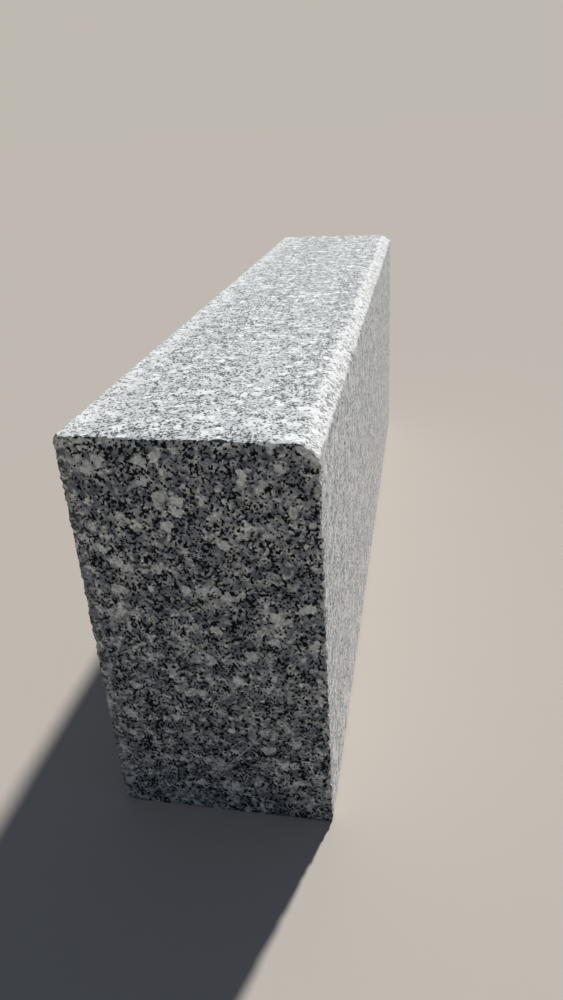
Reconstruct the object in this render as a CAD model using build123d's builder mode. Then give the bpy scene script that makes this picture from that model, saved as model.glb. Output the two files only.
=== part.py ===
from build123d import *
import os

# Granite kerb stone: one block with sawn ends, a dressed top that falls towards the road,
# and a chamfer along the upper edge of the road face. Millimetres, +Z up.
# The origin is the centre of the base. +X points out of the road face and +Y runs along the stone.

# Block
stone_length = 800.0
stone_width = 160.0
back_height = 300.0
top_fall = 3.0              # drop of the top from the back arris to the line of the road face

# Chamfer between the top and the road face
chamfer_on_top = 10.0
chamfer_on_face = 8.0

# Radii of the long arrises, which the dressing leaves a little blunt
upper_chamfer_round = 5.0
lower_chamfer_round = 2.0
back_arris_round = 2.5
foot_arris_round = 1.5

# Spalls, the shallow hollows left where a flake has come away from an arris
spall_curve = 14.0          # radius of a hollow's surface
corner_spall_depth = 3.0    # from where the corner was, straight in
edge_spall_depth = 1.4      # from where the arris was, straight in
large_edge_spall = 103.0    # from the back face, along the near top arris
small_edge_spall = 32.0

# Lines of the section
half_width = stone_width / 2
half_length = stone_length / 2
fall_per_mm = top_fall / stone_width
road_height = back_height - top_fall

# Corners of the section before they are rounded, as X and Z
back_foot = (-half_width, 0)
road_foot = (half_width, 0)
chamfer_low = (half_width, road_height - chamfer_on_face)
chamfer_top = (half_width - chamfer_on_top, road_height + chamfer_on_top * fall_per_mm)
back_top = (-half_width, back_height)

# Directions out of the block
near = Vector(0, -1, 0)
back = Vector(-1, 0, 0)
up = Vector(0, 0, 1)
down = Vector(0, 0, -1)


def on_near_top_arris(from_back):
    return Vector(from_back - half_width, -half_length, back_height - from_back * fall_per_mm)


# Each spall: the point where the arris or corner was, the way it faces, and its depth
spalls = [
    (Vector(-half_width, -half_length, back_height), near + back + up, corner_spall_depth),
    (Vector(-half_width, -half_length, 0), near + back + down, corner_spall_depth),
    (on_near_top_arris(large_edge_spall), near + up, edge_spall_depth),
    (on_near_top_arris(small_edge_spall), near + up, edge_spall_depth / 2),
]

with BuildPart() as kerb_stone:
    with BuildSketch(Plane.XZ):
        with BuildLine():
            Polyline(back_foot, road_foot, chamfer_low, chamfer_top, back_top, close=True)
        make_face()
        for corner, radius in [
            (back_foot, foot_arris_round),
            (road_foot, foot_arris_round),
            (chamfer_low, lower_chamfer_round),
            (chamfer_top, upper_chamfer_round),
            (back_top, back_arris_round),
        ]:
            fillet(vertices().sort_by_distance(corner)[0], radius=radius)
    extrude(amount=half_length, both=True)

    for arris_point, facing, depth in spalls:
        with Locations(arris_point + facing.normalized() * (spall_curve - depth)):
            Sphere(radius=spall_curve, mode=Mode.SUBTRACT)

kerb_stone.part.label = "kerb_stone"

os.makedirs("parts", exist_ok=True)
export_step(kerb_stone.part, "parts/kerb_stone.step")
print("volume in litres:", round(kerb_stone.part.volume / 1e6, 3))
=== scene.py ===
import math
import time

import bpy
from mathutils import Matrix, Vector


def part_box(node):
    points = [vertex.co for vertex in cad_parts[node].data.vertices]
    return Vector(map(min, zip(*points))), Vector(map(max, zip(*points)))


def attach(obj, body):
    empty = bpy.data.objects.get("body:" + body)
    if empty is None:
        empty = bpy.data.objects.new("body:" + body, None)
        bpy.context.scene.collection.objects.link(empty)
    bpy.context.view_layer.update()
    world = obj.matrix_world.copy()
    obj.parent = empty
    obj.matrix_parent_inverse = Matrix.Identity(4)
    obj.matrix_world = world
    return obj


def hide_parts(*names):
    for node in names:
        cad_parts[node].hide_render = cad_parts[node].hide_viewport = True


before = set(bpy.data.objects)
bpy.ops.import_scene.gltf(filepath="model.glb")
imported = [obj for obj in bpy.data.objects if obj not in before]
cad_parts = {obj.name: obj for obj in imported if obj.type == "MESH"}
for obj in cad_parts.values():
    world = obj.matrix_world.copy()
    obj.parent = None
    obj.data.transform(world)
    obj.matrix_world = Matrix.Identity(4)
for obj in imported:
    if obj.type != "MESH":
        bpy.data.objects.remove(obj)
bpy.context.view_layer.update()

scene = bpy.context.scene
started = time.time()
mm = 0.001


def report(stage):
    print(f"{stage}: {time.time() - started:.1f} s")


# The stone's own box, which every place below is worked out from
stoneLow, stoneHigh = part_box("kerb_stone")

# The stone. +X is the road side and +Y runs along it.
stone = {
    "topFall": 3.0 * mm,           # the top drops this much from the back arris to the road face
    "chamferOnTop": 10.0 * mm,
    "chamferOnFace": 8.0 * mm,
    "cellAcross": 2.6 * mm,        # mesh spacing over the width
    "cellUp": 2.7 * mm,
    "cellAlong": 3.4 * mm,
    "cellAtEnds": 2.4 * mm,        # closer rows along the stone beside its ends
    "endRows": 6,
    "arrisBand": 3.0 * mm,         # cells this near an end arris are cut up once more
    "arrisCuts": 2,
    "samePlace": 0.001 * mm,       # points nearer than this are one
    "flatWithin": 0.2,             # degrees, for the faces that join up before the cells are cut
    "finest": 0.02 * mm,           # slivers narrower than this are closed up
    "onFace": 0.1 * mm,            # nearer than this counts as lying in a face
    "fadeIn": 12 * mm,             # a dressed face's relief dies away over this depth in its neighbours
    "footFade": 3.0 * mm,          # and over this height above the base
    "chipReach": 2.3 * mm,         # how far from an arris the small chips reach
    "chipsOnLongArris": 0.45,      # the dressing has already blunted these, so they chip less
    "flakeReach": 6.0 * mm,
    "breakout": 8.6 * mm,          # strip along the back arris where the saw ran out and the stone broke
    "textureStretch": 1e4,         # makes a texture the same all along one axis
    "smoothAngle": 38,
}

# How squarely a face looks one way, as the share of its normal that points there
facing = {
    "flatBase": 0.99,
    "foot": 0.9,
    "road": 0.9,
    "sawn": 0.8,
    "back": 0.75,
}

# The axis that leads into the stone from each side, and which way along it
inward = {
    "top": ("Z", -1),
    "foot": ("Z", 1),
    "back": ("X", 1),
    "road": ("X", -1),
    "nearEnd": ("Y", 1),
}

# Relief of the faces. Size is the spacing of the humps, depth is how far the stone is cut away,
# and a level under 1 leaves more of the face at full height.
reliefs = [
    {"zone": "back", "side": "back", "size": 70 * mm, "depth": 0.5 * mm, "contrast": 1.4, "level": 0.85},
    {"zone": "back", "side": "back", "size": 17 * mm, "depth": 0.9 * mm, "contrast": 1.7, "level": 0.75},
    {"zone": "back", "side": "back", "size": 6 * mm, "depth": 0.8 * mm, "contrast": 1.5, "level": 0.8},
    {"zone": "top", "side": "top", "size": 8 * mm, "depth": 0.5 * mm, "contrast": 1.5, "level": 0.8},
    {"zone": "road", "side": "road", "size": 9 * mm, "depth": 0.4 * mm, "contrast": 1.5, "level": 0.8},
    {"zone": "breakout", "side": "nearEnd", "size": 7 * mm, "depth": 0.8 * mm, "contrast": 1.0, "level": 1},
]

# What has gone from the arrises, cut in from each side that meets them
chips = {"size": 3.4 * mm, "depth": 1.1 * mm, "contrast": 3.0, "level": 0.9}
flakes = {"size": 11 * mm, "depth": 1.0 * mm, "contrast": 3.0, "level": 0.4}
for side in ("top", "foot", "back", "road"):
    reliefs.append({"zone": side + "Chips", "side": side, **chips})
    reliefs.append({"zone": side + "Flakes", "side": side, **flakes})


def topAt(x):
    fallen = (x - stoneLow.x) / (stoneHigh.x - stoneLow.x)
    return stoneHigh.z - stone["topFall"] * fallen


# Corners of the section in X and Z, before the dressing blunts them
roadTop = topAt(stoneHigh.x)
chamferFoot = roadTop - stone["chamferOnFace"]
chamferStart = stoneHigh.x - stone["chamferOnTop"]
sectionCorners = [
    (stoneLow.x, stoneLow.z),
    (stoneHigh.x, stoneLow.z),
    (stoneHigh.x, chamferFoot),
    (chamferStart, topAt(chamferStart)),
    (stoneLow.x, stoneHigh.z),
]


def insideSection(place):
    # how deep a point lies under the long faces
    slope = stone["chamferOnFace"] / stone["chamferOnTop"]
    underChamfer = (chamferFoot + slope * (stoneHigh.x - place.x) - place.z) / math.hypot(1, slope)
    underTop = topAt(place.x) - place.z
    return min(place.x - stoneLow.x, stoneHigh.x - place.x, place.z - stoneLow.z, underTop, underChamfer)


def insideEnds(place):
    return min(place.y - stoneLow.y, stoneHigh.y - place.y)


def fromLongArris(place):
    return min(math.hypot(place.x - x, place.z - z) for x, z in sectionCorners)


def makeActive(piece):
    if bpy.context.object and bpy.context.object.mode != "OBJECT":
        bpy.ops.object.mode_set(mode="OBJECT")
    bpy.ops.object.select_all(action="DESELECT")
    piece.select_set(True)
    bpy.context.view_layer.objects.active = piece


def selectFaces(piece, wanted):
    # leaves the piece in edit mode with just these faces selected
    bpy.ops.object.mode_set(mode="EDIT")
    bpy.ops.mesh.select_mode(type="FACE")
    bpy.ops.mesh.select_all(action="DESELECT")
    bpy.ops.object.mode_set(mode="OBJECT")
    for face in piece.data.polygons:
        if wanted(face.center, face.normal):
            face.select = True
    bpy.ops.object.mode_set(mode="EDIT")


def sliceMesh(positions, axis):
    # cuts right through at each position, as a wire saw would, and keeps both sides
    normal = Vector((axis == "X", axis == "Y", axis == "Z"))
    for position in positions:
        bpy.ops.mesh.select_all(action="SELECT")
        bpy.ops.mesh.bisect(plane_co=normal * position, plane_no=normal, threshold=stone["samePlace"])


def evenly(low, high, cell):
    count = max(2, round((high - low) / cell))
    return [low + (high - low) * i / count for i in range(1, count)]


def sliceAlong(piece):
    # rows close together beside the ends, then the long strips between them in one go
    rows = [stone["cellAtEnds"] * i for i in range(1, stone["endRows"] + 1)]
    sliceMesh([stoneLow.y + r for r in rows] + [stoneHigh.y - r for r in rows], "Y")
    bpy.ops.mesh.select_mode(type="EDGE")
    bpy.ops.mesh.select_all(action="DESELECT")
    bpy.ops.object.mode_set(mode="OBJECT")
    points = piece.data.vertices
    longest = stoneHigh.y - stoneLow.y - 2 * rows[-1]
    for edge in piece.data.edges:
        start, end = (points[i].co for i in edge.vertices)
        edge.select = abs(start.y - end.y) > longest / 2
    bpy.ops.object.mode_set(mode="EDIT")
    bpy.ops.mesh.subdivide(number_cuts=round(longest / stone["cellAlong"]) - 1)


def dissolveIdlePoints(piece):
    # a point where only two edges meet adds nothing, and the triangles on its two sides would double up
    bpy.ops.mesh.select_mode(type="VERT")
    bpy.ops.mesh.select_all(action="DESELECT")
    bpy.ops.object.mode_set(mode="OBJECT")
    edgesAt = [0] * len(piece.data.vertices)
    for edge in piece.data.edges:
        for index in edge.vertices:
            edgesAt[index] += 1
    for vertex in piece.data.vertices:
        vertex.select = edgesAt[vertex.index] == 2
    bpy.ops.object.mode_set(mode="EDIT")
    bpy.ops.mesh.dissolve_verts()
    bpy.ops.object.mode_set(mode="OBJECT")


def buildStone():
    # The block: a copy of the solid's own mesh, cleaned to plain faces
    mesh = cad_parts["kerb_stone"].data.copy()
    mesh.materials.clear()
    piece = bpy.data.objects.new("dressed_kerb_stone", mesh)
    scene.collection.objects.link(piece)
    makeActive(piece)
    bpy.ops.mesh.customdata_custom_splitnormals_clear()
    bpy.ops.object.mode_set(mode="EDIT")
    bpy.ops.mesh.select_all(action="SELECT")
    bpy.ops.mesh.remove_doubles(threshold=stone["samePlace"])
    bpy.ops.mesh.dissolve_limited(angle_limit=math.radians(stone["flatWithin"]))
    sliceMesh(evenly(stoneLow.x, stoneHigh.x, stone["cellAcross"]), "X")
    sliceMesh(evenly(stoneLow.z, stoneHigh.z, stone["cellUp"]), "Z")
    sliceAlong(piece)
    bpy.ops.object.mode_set(mode="OBJECT")
    report(f"block cut into {len(mesh.polygons)} cells")

    # The base stays flat, so the middle of it needs no cells
    margin = stone["fadeIn"] + stone["cellAlong"]
    selectFaces(piece, lambda c, n: n.z < -facing["flatBase"] and c.z - stoneLow.z < stone["onFace"]
                and min(c.x - stoneLow.x, stoneHigh.x - c.x, insideEnds(c)) > margin)
    bpy.ops.mesh.dissolve_faces()

    # Closer cells beside the end arrises, for the chips
    selectFaces(piece, lambda c, n: n.z > -facing["foot"]
                and max(insideSection(c), insideEnds(c)) < stone["arrisBand"])
    bpy.ops.mesh.subdivide(number_cuts=stone["arrisCuts"])
    bpy.ops.mesh.select_all(action="SELECT")
    bpy.ops.mesh.dissolve_degenerate(threshold=stone["finest"])
    dissolveIdlePoints(piece)
    report(f"arrises cut finer, {len(mesh.polygons)} cells")
    return piece


def finishFaces(piece, finishes):
    # one material for each way of working the stone, put on by the way a face looks
    for finish, wanted in finishes:
        piece.data.materials.append(finish)
        piece.active_material_index = len(piece.data.materials) - 1
        selectFaces(piece, wanted)
        bpy.ops.object.material_slot_assign()
    bpy.ops.object.mode_set(mode="OBJECT")


def smooth(value):
    value = min(max(value, 0.0), 1.0)
    return value * value * (3 - 2 * value)


def zoneWeights(place):
    # how strongly each relief works on a vertex
    fade = stone["fadeIn"]
    fromEndArris = max(insideSection(place), insideEnds(place))
    fromArris = min(fromEndArris, fromLongArris(place))
    breakout = place.x - stoneLow.x < stone["breakout"] and place.y - stoneLow.y < stone["onFace"]
    endChips = smooth(1 - fromEndArris / stone["chipReach"])
    longChips = smooth(1 - fromLongArris(place) / stone["chipReach"])
    flaked = smooth(1 - fromArris / stone["flakeReach"])
    overFoot = smooth((place.z - stoneLow.z) / stone["footFade"])
    sides = {
        "top": smooth(1 - (topAt(place.x) - place.z) / fade),
        "foot": smooth(1 - (place.z - stoneLow.z) / fade),
        "back": smooth(1 - (place.x - stoneLow.x) / fade),
        "road": smooth(1 - (stoneHigh.x - place.x) / fade),
    }
    weights = {
        "top": sides["top"],
        "back": sides["back"],
        "road": sides["road"] * overFoot,
        "breakout": float(breakout),
    }
    for side, share in sides.items():
        weights[side + "Chips"] = share * min(endChips + stone["chipsOnLongArris"] * longChips, 1.0)
        weights[side + "Flakes"] = share * flaked
    return weights


def weighVertices(piece):
    # one vertex group for each zone, filled by hundredths, since vertices of one weight go in together
    weighed = {}
    for vertex in piece.data.vertices:
        for zone, weight in zoneWeights(vertex.co).items():
            weight = round(weight, 2)
            if weight:
                weighed.setdefault((zone, weight), []).append(vertex.index)
    for (zone, weight), vertices in weighed.items():
        group = piece.vertex_groups.get(zone) or piece.vertex_groups.new(name=zone)
        group.add(vertices, weight, "REPLACE")


def flatSpace(way):
    # an empty so long one way that a texture read in its space doesn't change along it
    empty = bpy.data.objects.new("flat_" + way, None)
    empty.scale = [stone["textureStretch"] if axis == way else 1.0 for axis in "XYZ"]
    scene.collection.objects.link(empty)
    return empty


def addRelief(piece, relief, flatSpaces):
    way, sign = inward[relief["side"]]
    texture = bpy.data.textures.new("relief_" + relief["zone"], "CLOUDS")
    texture.noise_scale = relief["size"]
    texture.noise_depth = 2
    texture.use_clamp = True
    texture.contrast = relief["contrast"]
    texture.intensity = relief["level"]
    carve = piece.modifiers.new("relief_" + relief["zone"], "DISPLACE")
    carve.texture = texture
    carve.direction = way
    carve.texture_coords = "OBJECT"  # the same hollow at every depth, which keeps cells from folding over
    carve.texture_coords_object = flatSpaces[way]
    carve.vertex_group = relief["zone"]
    carve.mid_level = 0.0
    carve.strength = sign * relief["depth"]


def dressStone(piece):
    flatSpaces = {way: flatSpace(way) for way in "XYZ"}
    bpy.context.view_layer.update()
    weighVertices(piece)
    for relief in reliefs:
        addRelief(piece, relief, flatSpaces)
    makeActive(piece)
    for carve in list(piece.modifiers):
        bpy.ops.object.modifier_apply(modifier=carve.name)
    piece.vertex_groups.clear()
    for vertex in piece.data.vertices:  # rounding takes no point past the sawn ends
        vertex.co.y = min(max(vertex.co.y, stoneLow.y), stoneHigh.y)
    for empty in flatSpaces.values():
        bpy.data.objects.remove(empty)
    bpy.ops.object.shade_smooth_by_angle(angle=math.radians(stone["smoothAngle"]))
    report("stone dressed")


# Granite as it is seen: the same crystals run through every face, and each way of working shows them
# otherwise. Sizes in mm.
crystals = {
    "start": (37.3, 11.7, 53.9),   # where the noises are read, off their own grid at every face
    "wander": (8.0, 2.8),          # the grains' edges wander: spacing and reach, first wide and then close
    "closeWander": (3.0, 0.6),
    "grain": 3.0,                  # across a grain of quartz or feldspar
    "softness": 0.9,               # of the edges between grains
    "patch": 14.0,                 # patches richer in quartz or in feldspar
    "patchPull": 1.25,
    "feldsparFrom": (0.34, 0.54),
    "paleFrom": (0.66, 0.95),
    "big": 9.0,                    # between the large feldspars
    "bigShare": 0.46,
    "bigRadius": (0.04, 0.47),     # as a share of their spacing
    "bigRagged": (3.2, 1.3),       # spacing and reach of their ragged outline
    "bigEdge": 0.26,
    "mica": 1.4,                   # between flakes of black mica
    "micaSoftness": 0.25,
    "micaWander": (1.1, 0.45),
    "micaFrom": (0.61, 0.73),
    "cluster": 10.0,               # the flakes gather in clusters
    "clusterPull": 0.9,
    "micaInQuartz": 0.12,          # more of them among quartz, fewer inside a large feldspar
    "micaInBig": -0.5,
    "mottle": 1.7,                 # uneven tone inside a crystal
    "ior": 1.54,                   # of quartz and feldspar
}

# Marks on the near end and the top. Places are in mm from the stone's back, near end and base.
marks = {
    "fade": (0.8, 1.15),           # a mark dies away between these shares of its half size
    "endDepth": 1.0,               # the near end's own marks go this deep
    "scratch": (98.9, 0.0, 61.1),
    "scratchSize": (38.3, 2.0, 0.8),
    "scratchRise": 48.3,           # degrees
    "scratchPaler": 0.4,
    "breakoutPaler": 0.10,         # the strip where the saw ran out and the stone broke
    "breakoutEdge": 0.6,           # half the width over which it ends
    "cornerCrystal": (151.5, 0.0, 291.5),  # a large feldspar below the chamfer
    "cornerCrystalSize": (6.0, 3.0, 2.4),
    "cornerCrystalRise": -38.0,
    "micaNest": (105.0, 7.0, 298.0),
    "micaNestSize": (8.0, 8.0, 8.0),
    "micaNestPull": 0.3,
}

# Paler margins along the arrises: along the back arris the flame and the wear have bleached the top; over
# the chamfer the pallor is partly that wear and partly a painted highlight
wornMarginsAndSheen = {
    "back": (8.0, 28.0),           # full up to the first distance from the back arris, gone at the second
    "backShare": 0.75,
    "chamfer": 6.0,                # how far before the chamfer its bleaching and painted highlight start
    "foot": (-3.0, 1.0),           # it ends on the road face between these heights over the chamfer's foot
    "wander": (30.0, 10.0),        # spacing and reach of their wavy line
}

noiseMean = 0.5  # what Blender's noises lie around
softStep = {"interpolation_type": "SMOOTHSTEP"}
under, over, mixed = 6, 7, 2  # a Mix node's sockets for two colours, and the one where they come out


def linear(hexColour):
    # sRGB hex to the linear colour that Blender's sockets take
    channels = [int(hexColour[i:i + 2], 16) / 255 for i in (1, 3, 5)]
    return tuple(c / 12.92 if c <= 0.04045 else ((c + 0.055) / 1.055) ** 2.4 for c in channels) + (1.0,)


def addNode(tree, kind, inputs=None, **settings):
    # inputs, by name or number: a plain value, a socket, or a node whose first output is read
    node = tree.nodes.new("ShaderNode" + kind)
    for name, value in settings.items():
        setattr(node, name, value)
    for name, value in (inputs or {}).items():
        if isinstance(value, bpy.types.Node):
            value = value.outputs[0]
        if isinstance(value, bpy.types.NodeSocket):
            tree.links.new(value, node.inputs[name])
        else:
            node.inputs[name].default_value = value
    return node


def markAt(name):
    # from the stone's own edges to the object's coordinates, in mm
    return tuple(low / mm + distance for low, distance in zip(stoneLow, marks[name]))


def wander(tree, place, sizeAndReach):
    size, reach = sizeAndReach
    noise = addNode(tree, "TexNoise", {"Vector": place, "Scale": 1 / size, "Detail": 1.0})
    inputs = {0: noise.outputs["Color"], 1: (noiseMean,) * 3}
    centred = addNode(tree, "VectorMath", inputs, operation="SUBTRACT")
    inputs = {0: centred, 1: (reach * 2,) * 3, 2: place}
    return addNode(tree, "VectorMath", inputs, operation="MULTIPLY_ADD")


def placeInMm(tree):
    place = addNode(tree, "TexCoord").outputs["Object"]
    return addNode(tree, "VectorMath", {0: place, "Scale": 1 / mm}, operation="SCALE")


def spot(tree, place, name):
    # 1 inside an egg shape of this half size, turned about Y, with a soft edge
    turn = (0, -math.radians(marks.get(name + "Rise", 0.0)), 0)
    size = marks[name + "Size"]
    inputs = {"Vector": place, "Location": markAt(name), "Rotation": turn, "Scale": size}
    egg = addNode(tree, "Mapping", inputs, vector_type="TEXTURE")
    distance = addNode(tree, "VectorMath", {0: egg}, operation="LENGTH").outputs["Value"]
    full, gone = marks["fade"]
    return addNode(tree, "MapRange", {"Value": distance, "From Min": gone, "From Max": full}, **softStep)


def smallGrains(tree, place, bent):
    # quartz and feldspar, in patches richer in one or the other
    inputs = {"Vector": bent, "Scale": 1 / crystals["grain"], "Smoothness": crystals["softness"]}
    grain = addNode(tree, "TexVoronoi", inputs, feature="SMOOTH_F1")
    ownTone = addNode(tree, "SeparateColor", {0: grain.outputs["Color"]})
    patches = addNode(tree, "TexNoise", {"Vector": place, "Scale": 1 / crystals["patch"], "Detail": 2.0})
    centred = addNode(tree, "Math", {0: patches, 1: noiseMean}, operation="SUBTRACT")
    inputs = {0: centred, 1: crystals["patchPull"], 2: ownTone}
    leaning = addNode(tree, "Math", inputs, operation="MULTIPLY_ADD")
    made = {"tone": ownTone.outputs[1]}
    for mineral in ("feldspar", "pale"):
        low, high = crystals[mineral + "From"]
        inputs = {"Value": leaning, "From Min": low, "From Max": high}
        made[mineral] = addNode(tree, "MapRange", inputs, **softStep)
    return made


def largeFeldspars(tree, place, bent, extraBig):
    # a share of widely spaced cells, each filled out to its own ragged radius
    cell = addNode(tree, "TexVoronoi", {"Vector": bent, "Scale": 1 / crystals["big"]})
    chosen = addNode(tree, "SeparateColor", {0: cell.outputs["Color"]})
    least, most = crystals["bigRadius"]
    inputs = {0: chosen.outputs[1], 1: most - least, 2: least}
    radius = addNode(tree, "Math", inputs, operation="MULTIPLY_ADD")
    size, reach = crystals["bigRagged"]
    noise = addNode(tree, "TexNoise", {"Vector": place, "Scale": 1 / size, "Detail": 2.0})
    centred = addNode(tree, "Math", {0: noise, 1: noiseMean}, operation="SUBTRACT")
    ragged = addNode(tree, "Math", {0: centred, 1: reach, 2: radius}, operation="MULTIPLY_ADD")
    room = addNode(tree, "Math", {0: ragged, 1: cell}, operation="SUBTRACT")
    edge = crystals["bigEdge"] / 2
    inputs = {"Value": room, "From Min": -edge, "From Max": edge}
    filled = addNode(tree, "MapRange", inputs, **softStep)
    picked = addNode(tree, "Math", {0: chosen, 1: crystals["bigShare"]}, operation="LESS_THAN")
    big = addNode(tree, "Math", {0: filled, 1: picked}, operation="MULTIPLY")
    if extraBig:
        big = addNode(tree, "Math", {0: big, 1: extraBig}, operation="MAXIMUM")
    return {"big": big, "bigTone": chosen.outputs[2]}


def blackMica(tree, place, minerals, extraMica):
    # small crystals of its own that gather in clusters
    bent = wander(tree, place, crystals["micaWander"])
    inputs = {"Vector": bent, "Scale": 1 / crystals["mica"], "Smoothness": crystals["micaSoftness"]}
    flake = addNode(tree, "TexVoronoi", inputs, feature="SMOOTH_F1")
    ownTone = addNode(tree, "SeparateColor", {0: flake.outputs["Color"]})
    noise = addNode(tree, "TexNoise", {"Vector": place, "Scale": 1 / crystals["cluster"], "Detail": 2.0})
    clusters = addNode(tree, "Math", {0: noise, 1: noiseMean}, operation="SUBTRACT")
    inputs = {0: 0.5, 1: minerals["feldspar"]}  # comes out over 0 among quartz, under 0 among feldspar
    quartz = addNode(tree, "Math", inputs, operation="SUBTRACT")
    pulls = [
        (clusters, crystals["clusterPull"]),
        (quartz, crystals["micaInQuartz"]),
        (minerals["big"], crystals["micaInBig"]),
    ]
    if extraMica:
        pulls.append((extraMica, marks["micaNestPull"]))
    crowding = ownTone.outputs[2]
    for source, pull in pulls:
        crowding = addNode(tree, "Math", {0: source, 1: pull, 2: crowding}, operation="MULTIPLY_ADD")
    low, high = crystals["micaFrom"]
    inputs = {"Value": crowding, "From Min": low, "From Max": high}
    return {"mica": addNode(tree, "MapRange", inputs, **softStep), "micaTone": ownTone.outputs[0]}


def granitePattern(tree, place, extraBig=None, extraMica=None):
    # how much of each mineral a point shows, from 0 to 1, and the own tone of the crystals it lies in
    place = addNode(tree, "VectorMath", {0: place, 1: crystals["start"]}, operation="ADD")
    bent = wander(tree, wander(tree, place, crystals["wander"]), crystals["closeWander"])
    minerals = {"place": place}
    minerals.update(smallGrains(tree, place, bent))
    minerals.update(largeFeldspars(tree, place, bent, extraBig))
    minerals.update(blackMica(tree, place, minerals, extraMica))
    inputs = {"Vector": place, "Scale": 1 / crystals["mottle"], "Detail": 1.0}
    minerals["mottle"] = addNode(tree, "TexNoise", inputs)
    return minerals


def graniteColour(tree, minerals, look):
    # quartz and feldspar, each grain a little lighter or darker, then the large crystals and the mica
    tones = {"quartz": "tone", "feldspar": "tone", "big": "bigTone", "mica": "micaTone"}
    ownColour = {"pale": linear(look["pale"])}
    for mineral, tone in tones.items():
        darkest, palest = linear(look[mineral + "Dark"]), linear(look[mineral])
        inputs = {0: minerals[tone], under: darkest, over: palest}
        ownColour[mineral] = addNode(tree, "Mix", inputs, data_type="RGBA").outputs[mixed]
    colour = ownColour["quartz"]
    for mineral in ("feldspar", "pale", "big"):
        inputs = {0: minerals[mineral], under: colour, over: ownColour[mineral]}
        colour = addNode(tree, "Mix", inputs, data_type="RGBA").outputs[mixed]
    inputs = {0: minerals["mottle"], 1: look["mottle"], 2: 1 - look["mottle"] * noiseMean}
    mottling = addNode(tree, "Math", inputs, operation="MULTIPLY_ADD")
    mottled = addNode(tree, "VectorMath", {0: colour, "Scale": mottling}, operation="SCALE")
    inputs = {0: minerals["mica"], under: mottled, over: ownColour["mica"]}
    return addNode(tree, "Mix", inputs, data_type="RGBA").outputs[mixed]


def newMaterial(name):
    made = bpy.data.materials.new(name)
    made.use_nodes = True
    tree = made.node_tree
    tree.nodes.clear()
    shader = addNode(tree, "BsdfPrincipled")
    addNode(tree, "OutputMaterial", {"Surface": shader})
    return made, tree, shader


def finishGranite(tree, shader, colour, height, look):
    # the stone's own gloss, and relief that is too fine to model
    tree.links.new(colour, shader.inputs["Base Color"])
    shader.inputs["IOR"].default_value = crystals["ior"]
    shader.inputs["Specular IOR Level"].default_value = look["gloss"]
    shader.inputs["Roughness"].default_value = look["roughness"]
    inputs = {"Height": height, "Strength": look["bump"], "Distance": look["bumpDepth"]}
    bump = addNode(tree, "Bump", inputs)
    tree.links.new(bump.outputs[0], shader.inputs["Normal"])


def nearEndMarks(tree, place):
    # how much saw dust pales the near end: the scratch, and the strip where the stone broke
    x, y = addNode(tree, "SeparateXYZ", {0: place}).outputs[:2]
    strip, edge = (stoneLow.x + stone["breakout"]) / mm, marks["breakoutEdge"]
    inputs = {"Value": x, "From Min": strip + edge, "From Max": strip - edge}
    inputs["To Max"] = marks["breakoutPaler"]
    broken = addNode(tree, "MapRange", inputs)
    inputs = {0: spot(tree, place, "scratch"), 1: marks["scratchPaler"], 2: broken}
    paler = addNode(tree, "Math", inputs, operation="MULTIPLY_ADD")
    inputs = {0: y, 1: stoneLow.y / mm + marks["endDepth"]}
    atNearEnd = addNode(tree, "Math", inputs, operation="LESS_THAN")
    return addNode(tree, "Math", {0: paler, 1: atNearEnd}, operation="MULTIPLY")


def sawnGranite():
    # Grey biotite granite of fine to medium grain, cut by a diamond saw: flat and matt, with grey glassy
    # quartz, pale feldspar and black mica plain to see. Saw dust dulls the gloss that polish would give.
    look = {
        "quartzDark": "#5d6167", "quartz": "#999ca2", "feldsparDark": "#969a97", "feldspar": "#c3c6c0",
        "pale": "#dddfd9", "bigDark": "#cdcec9", "big": "#e8e8e2", "micaDark": "#02050a", "mica": "#0c1016",
        "mottle": 1.3, "sawDust": "#dddcd6", "micaSunk": 0.5,
        "gloss": 0.1, "roughness": 0.65, "bump": 0.5, "bumpDepth": 0.12 * mm,
    }
    made, tree, shader = newMaterial("sawn_granite")
    place = placeInMm(tree)
    minerals = granitePattern(tree, place, extraBig=spot(tree, place, "cornerCrystal"))
    colour = graniteColour(tree, minerals, look)
    inputs = {0: nearEndMarks(tree, place), under: colour, over: linear(look["sawDust"])}
    colour = addNode(tree, "Mix", inputs, data_type="RGBA").outputs[mixed]
    inputs = {0: minerals["mica"], 1: -look["micaSunk"], 2: minerals["mottle"]}
    height = addNode(tree, "Math", inputs, operation="MULTIPLY_ADD")
    finishGranite(tree, shader, colour, height, look)
    return made


def wornMarginsAndChamferSheen(tree, place, noisePlace):
    # how pale the top is made: a worn margin along the back arris, and one over the chamfer that is partly
    # wear and partly a painted highlight
    x, y, z = addNode(tree, "SeparateXYZ", {0: place}).outputs
    size, reach = wornMarginsAndSheen["wander"]
    noise = addNode(tree, "TexNoise", {"Vector": noisePlace, "Scale": 1 / size, "Detail": 2.0})
    uneven = addNode(tree, "Math", {0: noise, 1: noiseMean}, operation="SUBTRACT")
    reached = addNode(tree, "Math", {0: uneven, 1: reach, 2: x}, operation="MULTIPLY_ADD")
    start = chamferStart / mm
    inputs = {"Value": reached, "From Min": start - wornMarginsAndSheen["chamfer"], "From Max": start}
    chamferWearAndSheen = addNode(tree, "MapRange", inputs, **softStep)
    full, gone = (stoneLow.x / mm + distance for distance in wornMarginsAndSheen["back"])
    inputs = {"Value": reached, "From Min": gone, "From Max": full, "To Max": wornMarginsAndSheen["backShare"]}
    backSide = addNode(tree, "MapRange", inputs, **softStep)
    low, high = (chamferFoot / mm + height for height in wornMarginsAndSheen["foot"])
    aboveFoot = addNode(tree, "MapRange", {"Value": z, "From Min": low, "From Max": high}, **softStep)
    bothSides = addNode(tree, "Math", {0: chamferWearAndSheen, 1: backSide}, operation="MAXIMUM")
    return addNode(tree, "Math", {0: bothSides, 1: aboveFoot}, operation="MULTIPLY")


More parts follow.
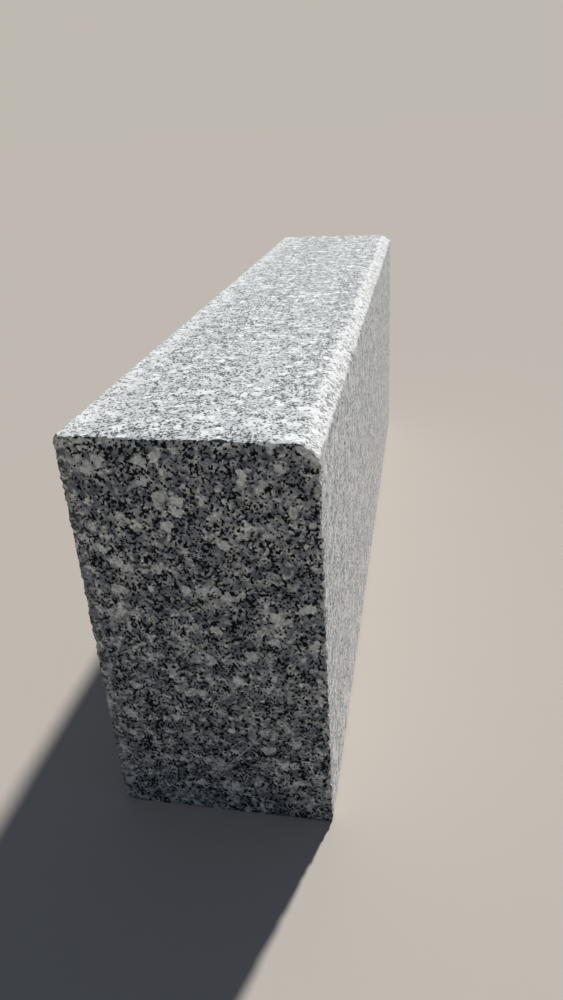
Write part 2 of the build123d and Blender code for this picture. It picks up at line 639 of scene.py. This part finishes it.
def flamedGranite():
    # The same granite with its face flaked by a flame: bleached and rough, the mica dulled to grey
    look = {
        "quartzDark": "#b8bbba", "quartz": "#cfd1d0", "feldsparDark": "#cccdcb", "feldspar": "#dfe1df",
        "pale": "#ebedea", "bigDark": "#e6e7e4", "big": "#f3f4f1", "micaDark": "#434648", "mica": "#66696a",
        "mottle": 0.5, "micaLost": 0.15, "micaSunk": 0.5,
        # the pale colour below is the worn margins' own, and over the chamfer it also paints a highlight
        "bleachAndSheen": "#f4f3ee", "bleachAndSheenOnGrain": 0.65, "bleachAndSheenOnMica": 0.25,
        "gloss": 0.3, "roughness": 0.75, "bump": 0.8, "bumpDepth": 0.6 * mm, "flaking": 2.4,
    }
    made, tree, shader = newMaterial("flamed_granite")
    place = placeInMm(tree)
    minerals = granitePattern(tree, place, extraMica=spot(tree, place, "micaNest"))
    bleachAndSheen = wornMarginsAndChamferSheen(tree, place, minerals["place"])

    # The flame has burnt the thin edges of the mica away, and bleaches mica less than the other crystals
    inputs = {"Value": minerals["mica"], "From Min": look["micaLost"]}
    minerals["mica"] = addNode(tree, "MapRange", inputs, **softStep)
    colour = graniteColour(tree, minerals, look)
    # Mixing toward the pale colour: worn pallor, and over the chamfer also a painted highlight
    onGrain, onMica = look["bleachAndSheenOnGrain"], look["bleachAndSheenOnMica"]
    inputs = {0: minerals["mica"], 1: onMica - onGrain, 2: onGrain}
    most = addNode(tree, "Math", inputs, operation="MULTIPLY_ADD")
    share = addNode(tree, "Math", {0: bleachAndSheen, 1: most}, operation="MULTIPLY")
    inputs = {0: share, under: colour, over: linear(look["bleachAndSheen"])}
    colour = addNode(tree, "Mix", inputs, data_type="RGBA").outputs[mixed]

    # Flaked all over, and deeper where the soft mica was
    inputs = {"Vector": minerals["place"], "Scale": 1 / look["flaking"], "Detail": 3.0}
    flaking = addNode(tree, "TexNoise", inputs)
    inputs = {0: minerals["mica"], 1: -look["micaSunk"], 2: flaking}
    height = addNode(tree, "Math", inputs, operation="MULTIPLY_ADD")
    finishGranite(tree, shader, colour, height, look)
    return made


def plainGranite(name, look):
    # a finish that is the same all over its face
    made, tree, shader = newMaterial(name)
    minerals = granitePattern(tree, placeInMm(tree))
    inputs = {"Vector": minerals["place"], "Scale": 1 / look["grit"], "Detail": 4.0}
    grit = addNode(tree, "TexNoise", inputs)
    finishGranite(tree, shader, graniteColour(tree, minerals, look), grit, look)
    return made


def roadFacePaintedPaler():
    # The road face, flamed too, in a paler copy of the flamed granite: its pallor is painted light,
    # standing in for more light on this face than the lamps give it, so it is the palest face and the
    # evenest
    look = {
        "quartzDark": "#d2d4d4", "quartz": "#e5e6e6", "feldsparDark": "#e5e5e2", "feldspar": "#f2f2ef",
        "pale": "#f6f6f3", "bigDark": "#f1f1ed", "big": "#f8f8f4", "micaDark": "#6c7072", "mica": "#8a8e90",
        "mottle": 0.5,
        "gloss": 0.3, "roughness": 0.8, "bump": 0.8, "bumpDepth": 0.6 * mm, "grit": 2.4,
    }
    return plainGranite("flamed_granite_painted_paler", look)


def rivenGranite():
    # The back as it was split from the block: fresh broken crystals, coarse to the touch
    look = {
        "quartzDark": "#8d9093", "quartz": "#b1b3b6", "feldsparDark": "#a8a8a4", "feldspar": "#d2d0ca",
        "pale": "#e0ded7", "bigDark": "#d6d3cb", "big": "#e9e6df", "micaDark": "#1c1e22", "mica": "#35373b",
        "mottle": 1.0,
        "gloss": 0.3, "roughness": 0.75, "bump": 0.9, "bumpDepth": 0.9 * mm, "grit": 3.5,
    }
    return plainGranite("riven_granite", look)


# Fitted to the stone's edges as the photo shows them
camera = {
    "eye": Vector((134.8, -774.8, 455.2)) * mm,
    "pitchDown": 26.6,             # degrees, as are the next two
    "turnLeft": 12.73,
    "roll": -4.02,
    "focal": 26.84,                # mm on a 36 mm sensor, for a picture 563 by 1000
    "shift": (0.0112, -0.0021),
    "clip": (0.01, 200),           # m
}


def buildCamera():
    data = bpy.data.cameras.new("camera")
    data.lens = camera["focal"]
    data.shift_x, data.shift_y = camera["shift"]
    data.clip_start, data.clip_end = camera["clip"]
    eye = bpy.data.objects.new("camera", data)
    scene.collection.objects.link(eye)
    turn = Matrix.Rotation(math.radians(camera["turnLeft"]), 4, "Z")
    pitch = Matrix.Rotation(math.radians(90 - camera["pitchDown"]), 4, "X")
    roll = Matrix.Rotation(math.radians(camera["roll"]), 4, "Z")
    eye.matrix_world = Matrix.Translation(camera["eye"]) @ turn @ pitch @ roll
    scene.camera = eye


light = {
    "towardsSun": Vector((0.206, 0.697, 0.687)),
    "sunStrength": 4.15,
    "sunAngle": 3,                 # degrees across the sun, a little wide so that shadows end softly
    "sky": 0.162,
    "skyTint": "#cadcff",
}

floorLook = {
    "colour": "#bfb7ac",
    "asLit": "#bfb9b1",            # how the floor looks far out in the sun
    "size": 80.0,                  # m
    "roughness": 1.0,
    "gloss": 0.0,
}


def buildLights():
    data = bpy.data.lights.new("key", "SUN")
    data.energy = light["sunStrength"]
    data.angle = math.radians(light["sunAngle"])
    key = bpy.data.objects.new("key", data)
    scene.collection.objects.link(key)
    key.rotation_mode = "QUATERNION"
    key.rotation_quaternion = light["towardsSun"].to_track_quat("Z", "Y")
    world = bpy.data.worlds.new("studio")
    world.use_nodes = True
    scene.world = world
    tree = world.node_tree
    tree.nodes.clear()
    sky = addNode(tree, "Background", {"Color": linear(light["skyTint"]), "Strength": light["sky"]})
    # past the floor, the camera and the reflections see the floor's own tone, so that no horizon shows
    seen = addNode(tree, "Background", {"Color": linear(floorLook["asLit"]), "Strength": 1.0})
    rays = addNode(tree, "LightPath").outputs
    direct = rays["Is Camera Ray"]
    for kind in ("Is Glossy Ray", "Is Transmission Ray"):
        direct = addNode(tree, "Math", {0: direct, 1: rays[kind]}, operation="MAXIMUM")
    either = addNode(tree, "MixShader", {0: direct, 1: sky, 2: seen})
    addNode(tree, "OutputWorld", {"Surface": either})


def buildFloor():
    bpy.ops.object.select_all(action="DESELECT")
    bpy.ops.mesh.primitive_plane_add(size=floorLook["size"], location=(0, 0, stoneLow.z))
    floor = bpy.context.object
    floor.name = "floor"
    made, tree, shader = newMaterial("pale_floor")
    shader.inputs["Base Color"].default_value = linear(floorLook["colour"])
    shader.inputs["Roughness"].default_value = floorLook["roughness"]
    shader.inputs["Specular IOR Level"].default_value = floorLook["gloss"]
    floor.data.materials.append(made)


buildCamera()
buildLights()
dressedStone = buildStone()
finishFaces(dressedStone, [
    (flamedGranite(), lambda c, n: True),  # what the others leave: the top and the chamfer
    # the road face gets the paler copy, its pallor painted light
    (roadFacePaintedPaler(), lambda c, n: n.x > facing["road"]),
    (sawnGranite(), lambda c, n: abs(n.y) > facing["sawn"] or n.z < -facing["sawn"]),
    (rivenGranite(), lambda c, n: n.x < -facing["back"]),
])
dressStone(dressedStone)
buildFloor()
scene.view_settings.view_transform = "Standard"

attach(dressedStone, "root")
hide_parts("kerb_stone")
triangles = sum(len(face.vertices) - 2 for face in dressedStone.data.polygons)
print(f"triangles: {triangles}")
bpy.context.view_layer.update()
report("finished")
